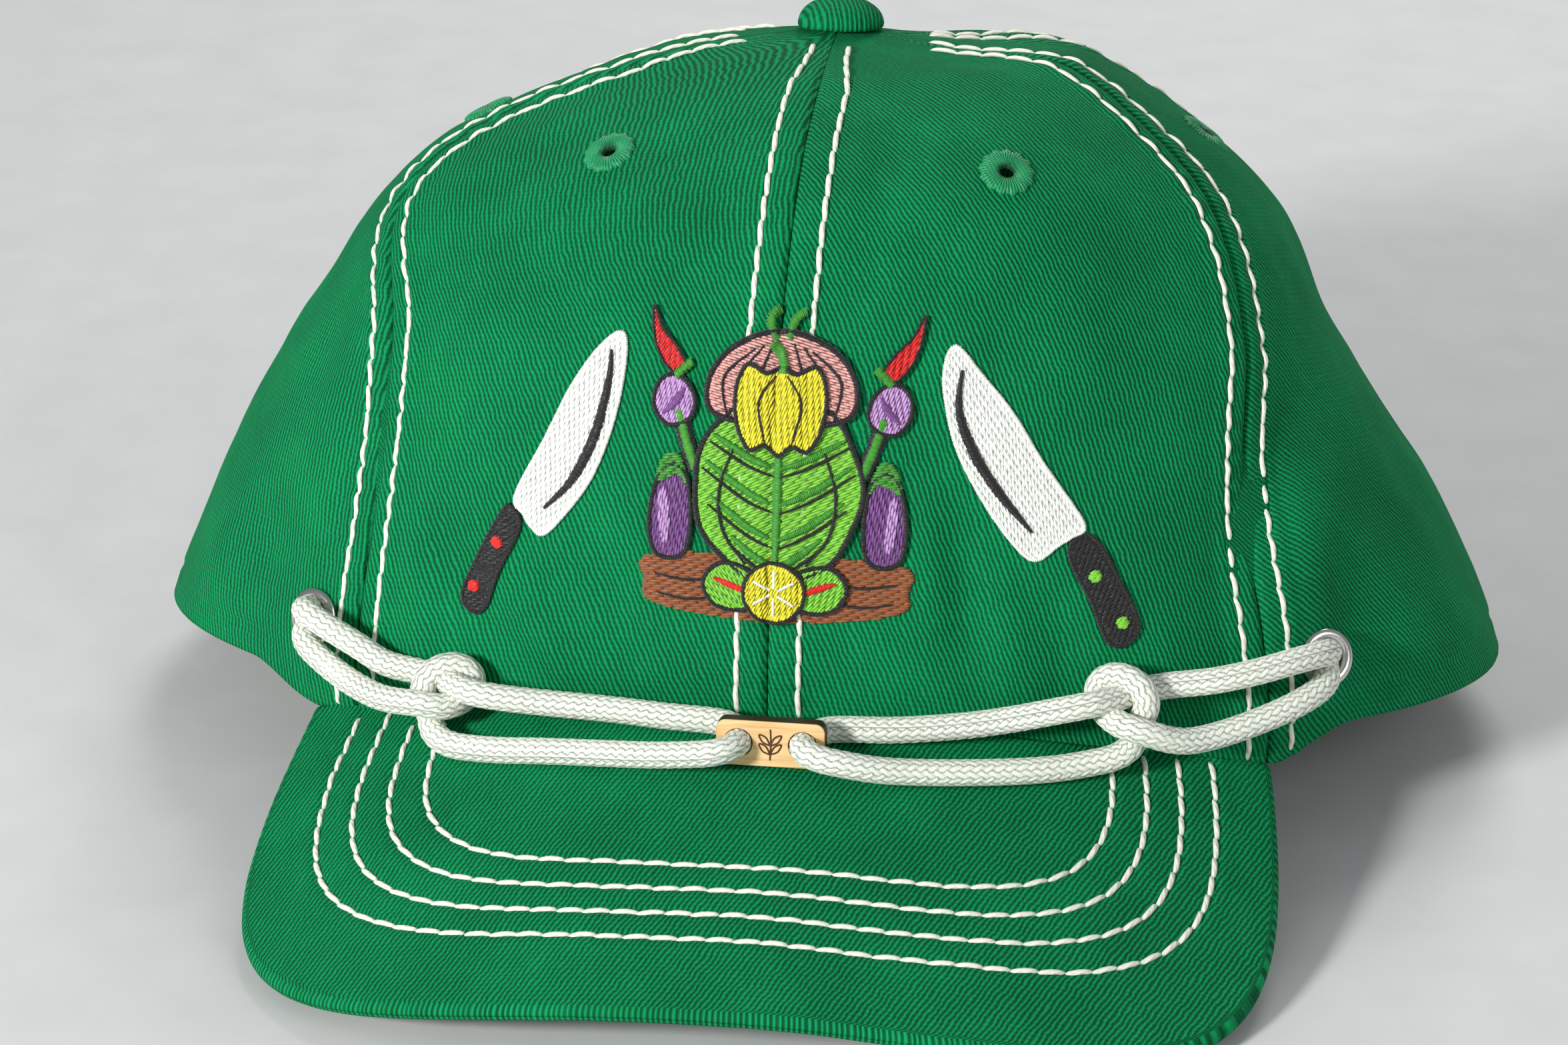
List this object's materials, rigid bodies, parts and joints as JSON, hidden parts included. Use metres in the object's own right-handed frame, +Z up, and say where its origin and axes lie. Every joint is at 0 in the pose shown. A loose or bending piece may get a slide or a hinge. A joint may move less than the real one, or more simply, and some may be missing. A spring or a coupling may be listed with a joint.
{
  "type": "six-panel rope-front cap",
  "caption": "Cotton twill six-panel cap with a curved visor, a knotted rope band carrying a wooden tag, front embroidery and an adjustable back strap with a clamp buckle.",
  "frame": {"origin": "bottom centre of the bounding box; the cap stands on a level surface, on the front edge of the visor and the back of the rim", "axes": "+X to the right seen from the front, -Y out over the visor, +Z up; the crown's own axis leans back by the rest angle"},
  "size_m": [0.235, 0.2072, 0.1221],
  "materials": {
    "crown_twill": "woven 3/1 cotton twill, kelly green, matt",
    "seam_tape": "plain-woven bias tape, green",
    "sweatband_cotton": "folded cotton twill, green",
    "visor_twill": "cotton twill, quilted to the board with four rows of stitching",
    "visor_board_plastic": "flexible polyethylene board",
    "zinc_plated_steel": "plated sheet steel",
    "eyelet_thread": "dense green buttonhole stitching",
    "nickel": "polished nickel plating",
    "rope_yarn": "braided off-white cotton rope",
    "maple": "light maple, cut edges darkened",
    "embroidery_thread": "rayon satin stitching in many colours",
    "backing_fleece": "white stabiliser fleece",
    "brushed_nickel": "brushed nickel plating"
  },
  "bodies": {
    "cap": {"front_left_panel": "crown_twill", "front_right_panel": "crown_twill", "side_left_panel": "crown_twill", "side_right_panel": "crown_twill", "back_left_panel": "crown_twill", "back_right_panel": "crown_twill", "front_seam_tape": "seam_tape", "left_front_seam_tape": "seam_tape", "right_front_seam_tape": "seam_tape", "left_back_seam_tape": "seam_tape", "right_back_seam_tape": "seam_tape", "back_seam_tape": "seam_tape", "back_opening_binding": "seam_tape", "sweatband": "sweatband_cotton", "visor_top_cover": "visor_twill", "visor_under_cover": "visor_twill", "visor_board": "visor_board_plastic", "button_cover": "crown_twill", "button_shell": "zinc_plated_steel", "button_back": "zinc_plated_steel", "front_left_vent_eyelet": "eyelet_thread", "front_right_vent_eyelet": "eyelet_thread", "side_left_vent_eyelet": "eyelet_thread", "side_right_vent_eyelet": "eyelet_thread", "back_left_vent_eyelet": "eyelet_thread", "back_right_vent_eyelet": "eyelet_thread", "left_grommet": "nickel", "left_grommet_washer": "nickel", "left_stopper_knot": "rope_yarn", "left_rope": "rope_yarn", "right_grommet": "nickel", "right_grommet_washer": "nickel", "right_stopper_knot": "rope_yarn", "right_rope": "rope_yarn", "wood_tag": "maple", "left_knife_embroidery": "embroidery_thread", "right_knife_embroidery": "embroidery_thread", "vegetable_embroidery": "embroidery_thread", "embroidery_backing": "backing_fleece", "back_strap": "crown_twill", "buckle_tab": "crown_twill", "buckle_frame": "brushed_nickel", "buckle_pin": "brushed_nickel"},
    "lever": {"buckle_lever": "brushed_nickel"}
  },
  "joints": [
    {"name": "lever_hinge", "type": "hinge", "parent": "cap", "child": "lever", "pos_m": [-0.01772, 0.09996, 0.01221], "axis": [0, -0.1815, -0.9834], "range_deg": [0, 100]}
  ]
}
